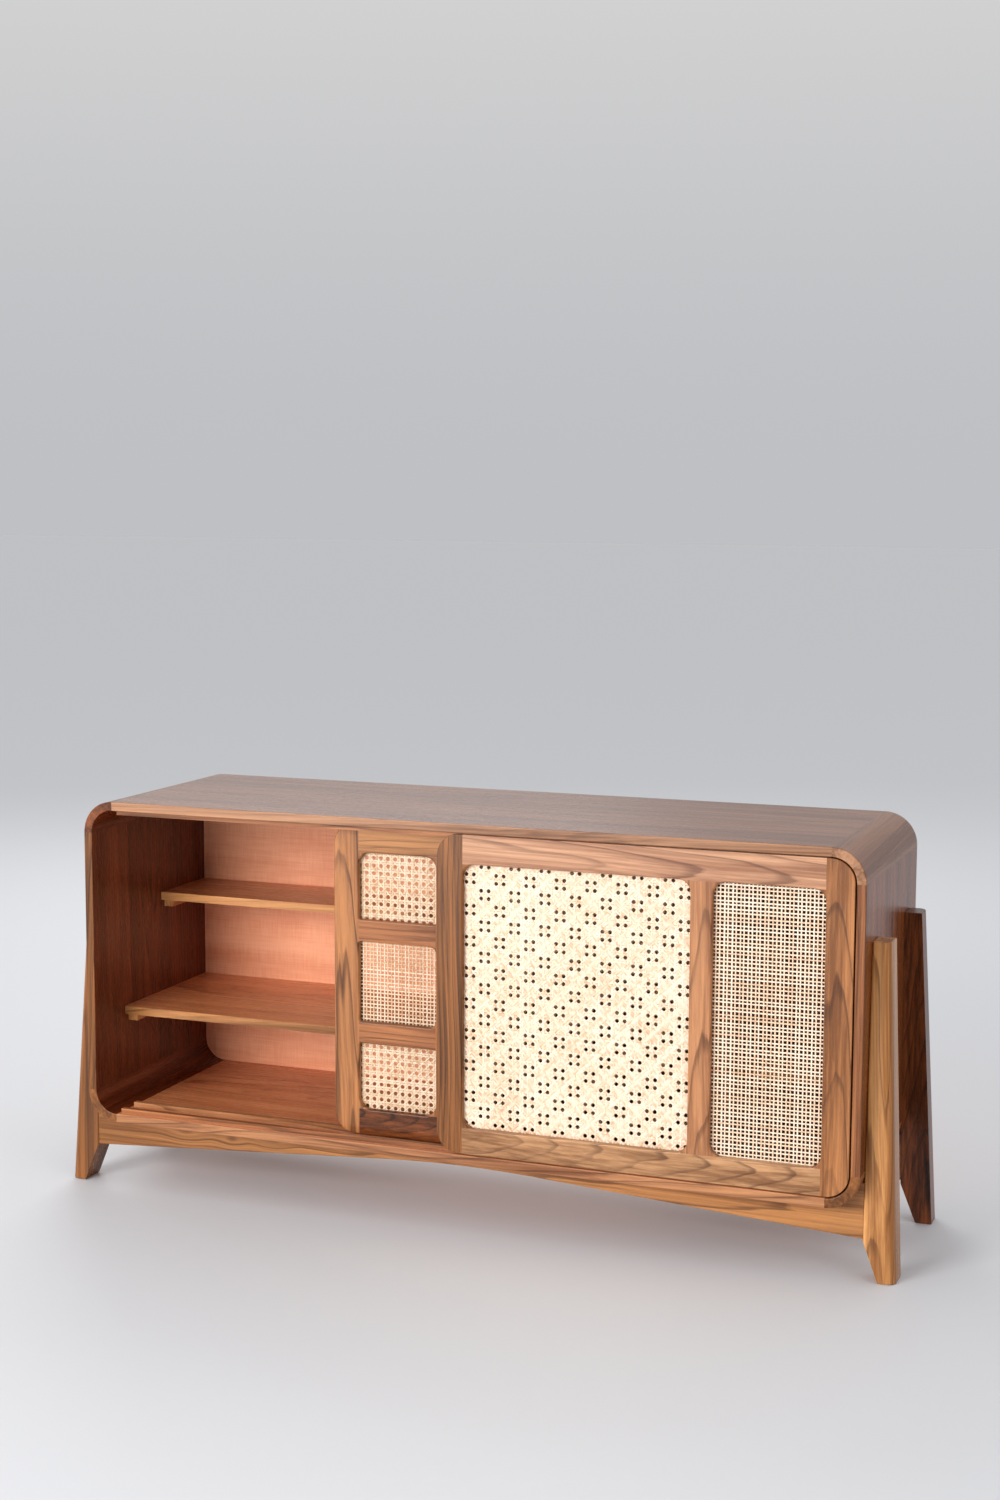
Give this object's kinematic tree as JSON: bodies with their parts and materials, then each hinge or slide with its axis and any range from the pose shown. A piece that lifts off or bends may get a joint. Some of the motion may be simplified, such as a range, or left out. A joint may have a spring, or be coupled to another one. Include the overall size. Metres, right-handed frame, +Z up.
{
  "type": "tv stand with doors",
  "caption": "Long rounded-corner teak media cabinet on a splayed leg frame, with sliding doors of framed woven cane in front of shelved bays.",
  "frame": {"origin": "on the floor under the middle of the cabinet", "axes": "+Z up, +X to the right of someone facing the doors, +Y from the doors towards the back panel"},
  "size_m": [1.4438, 0.4, 0.672],
  "materials": {
    "box_teak": "satin oiled",
    "frame_teak": "satin oiled",
    "door_teak": "satin oiled",
    "inner_teak": "satin oiled",
    "plywood": "matte stained",
    "dowel_wood": "bare",
    "woven_cane": "natural satin",
    "nylon": "matte"
  },
  "bodies": {
    "cabinet": {"back_left_leg": "frame_teak", "back_panel": "plywood", "back_rail": "frame_teak", "back_right_leg": "frame_teak", "bottom_front_guide_rail": "box_teak", "bottom_left_corner": "box_teak", "bottom_panel": "box_teak", "bottom_rear_guide_rail": "box_teak", "bottom_right_corner": "box_teak", "centre_divider": "inner_teak", "corner_dowels": "dowel_wood", "front_left_leg": "frame_teak", "front_rail": "frame_teak", "front_right_leg": "frame_teak", "left_cross_bearer": "frame_teak", "left_lower_cleats": "inner_teak", "left_lower_shelf": "inner_teak", "left_side": "box_teak", "left_upper_cleats": "inner_teak", "left_upper_shelf": "inner_teak", "leg_dowels": "dowel_wood", "right_cross_bearer": "frame_teak", "right_lower_cleats": "inner_teak", "right_lower_shelf": "inner_teak", "right_side": "box_teak", "right_upper_cleats": "inner_teak", "right_upper_shelf": "inner_teak", "top_front_guide_rail": "box_teak", "top_left_corner": "box_teak", "top_panel": "box_teak", "top_rear_guide_rail": "box_teak", "top_right_corner": "box_teak"},
    "front_door": {"front_door_bottom_rail": "door_teak", "front_door_cane_beads": "door_teak", "front_door_glides": "nylon", "front_door_large_cane": "woven_cane", "front_door_left_stile": "door_teak", "front_door_mid_stile": "door_teak", "front_door_narrow_cane": "woven_cane", "front_door_right_stile": "door_teak", "front_door_top_rail": "door_teak"},
    "inner_door": {"inner_door_bottom_cane": "woven_cane", "inner_door_bottom_rail": "door_teak", "inner_door_cane_beads": "door_teak", "inner_door_glides": "nylon", "inner_door_large_cane": "woven_cane", "inner_door_left_stile": "door_teak", "inner_door_lower_cross_rail": "door_teak", "inner_door_mid_stile": "door_teak", "inner_door_middle_cane": "woven_cane", "inner_door_right_stile": "door_teak", "inner_door_top_cane": "woven_cane", "inner_door_top_rail": "door_teak", "inner_door_upper_cross_rail": "door_teak"}
  },
  "joints": [
    {"name": "front_door_slide", "type": "slide", "parent": "cabinet", "child": "front_door", "axis": [1, 0, 0], "range_m": [-0.6305, 0]},
    {"name": "inner_door_slide", "type": "slide", "parent": "cabinet", "child": "inner_door", "axis": [1, 0, 0], "range_m": [-0.43, 0.2005]}
  ]
}
